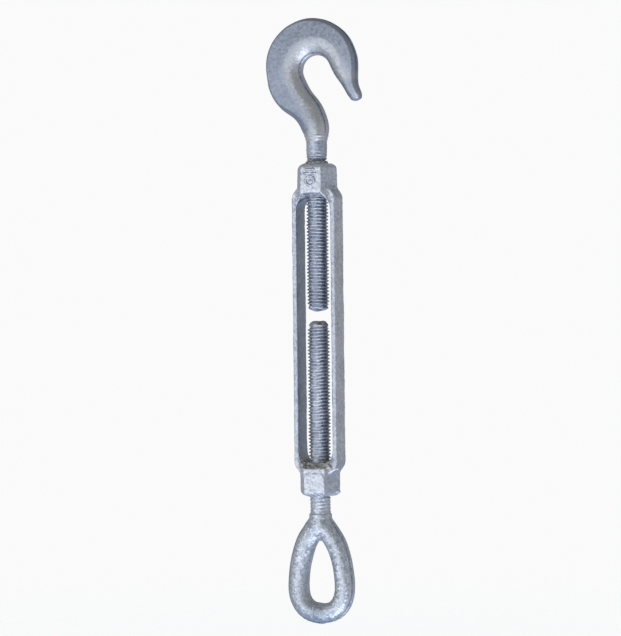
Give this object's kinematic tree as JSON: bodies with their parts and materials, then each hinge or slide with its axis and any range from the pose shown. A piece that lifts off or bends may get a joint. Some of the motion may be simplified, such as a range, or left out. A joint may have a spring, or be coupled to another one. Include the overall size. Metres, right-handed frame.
{
  "type": "rigging turnbuckle",
  "caption": "Hook-and-eye rigging turnbuckle: an open forged buckle whose threaded nuts draw a hook and an eye together or apart as they turn.",
  "frame": {"origin": "top of the inside of the hook's bowl, on the thread axis, where the turnbuckle hangs", "axes": "+Z along the thread axis from the eye towards the hook, X in the plane of the rails, the hook and the eye with the hook's mouth towards +X, -Y the front"},
  "size_m": [0.058, 0.0214, 0.3492],
  "materials": {
    "buckle_zinc": "hot-dip galvanised forging, bright and mottled",
    "hook_zinc": "hot-dip galvanised forging, satin blue-grey with spangle",
    "eye_zinc": "hot-dip galvanised forging, satin blue-grey with spangle",
    "tip_zinc": "hot-dip galvanised bar end, dull"
  },
  "bodies": {
    "buckle": {"buckle": "buckle_zinc"},
    "hook_carrier": {"hook_shank_tip": "tip_zinc"},
    "hook": {"hook": "hook_zinc"},
    "eye_carrier": {"eye_shank_tip": "tip_zinc"},
    "eye": {"eye": "eye_zinc"}
  },
  "joints": [
    {"name": "hook_travel", "type": "slide", "parent": "buckle", "child": "hook_carrier", "axis": [0, 0, 1], "range_m": [-0.00205, 0.06262]},
    {"name": "hook_screw", "type": "hinge", "parent": "hook_carrier", "child": "hook", "pos_m": [0, 0, -0.1], "axis": [0, 0, -1], "range_deg": [-360, 11520]},
    {"name": "eye_travel", "type": "slide", "parent": "buckle", "child": "eye_carrier", "axis": [0, 0, -1], "range_m": [-0.00205, 0.07825]},
    {"name": "eye_screw", "type": "hinge", "parent": "eye_carrier", "child": "eye", "pos_m": [0, 0, -0.2], "axis": [0, 0, -1], "range_deg": [-360, 14400]}
  ],
  "couplings": [
    {"joint": "hook_travel", "follows": "hook_screw", "m_per_rad": 0.00031096},
    {"joint": "eye_travel", "follows": "eye_screw", "m_per_rad": 0.00031096}
  ]
}
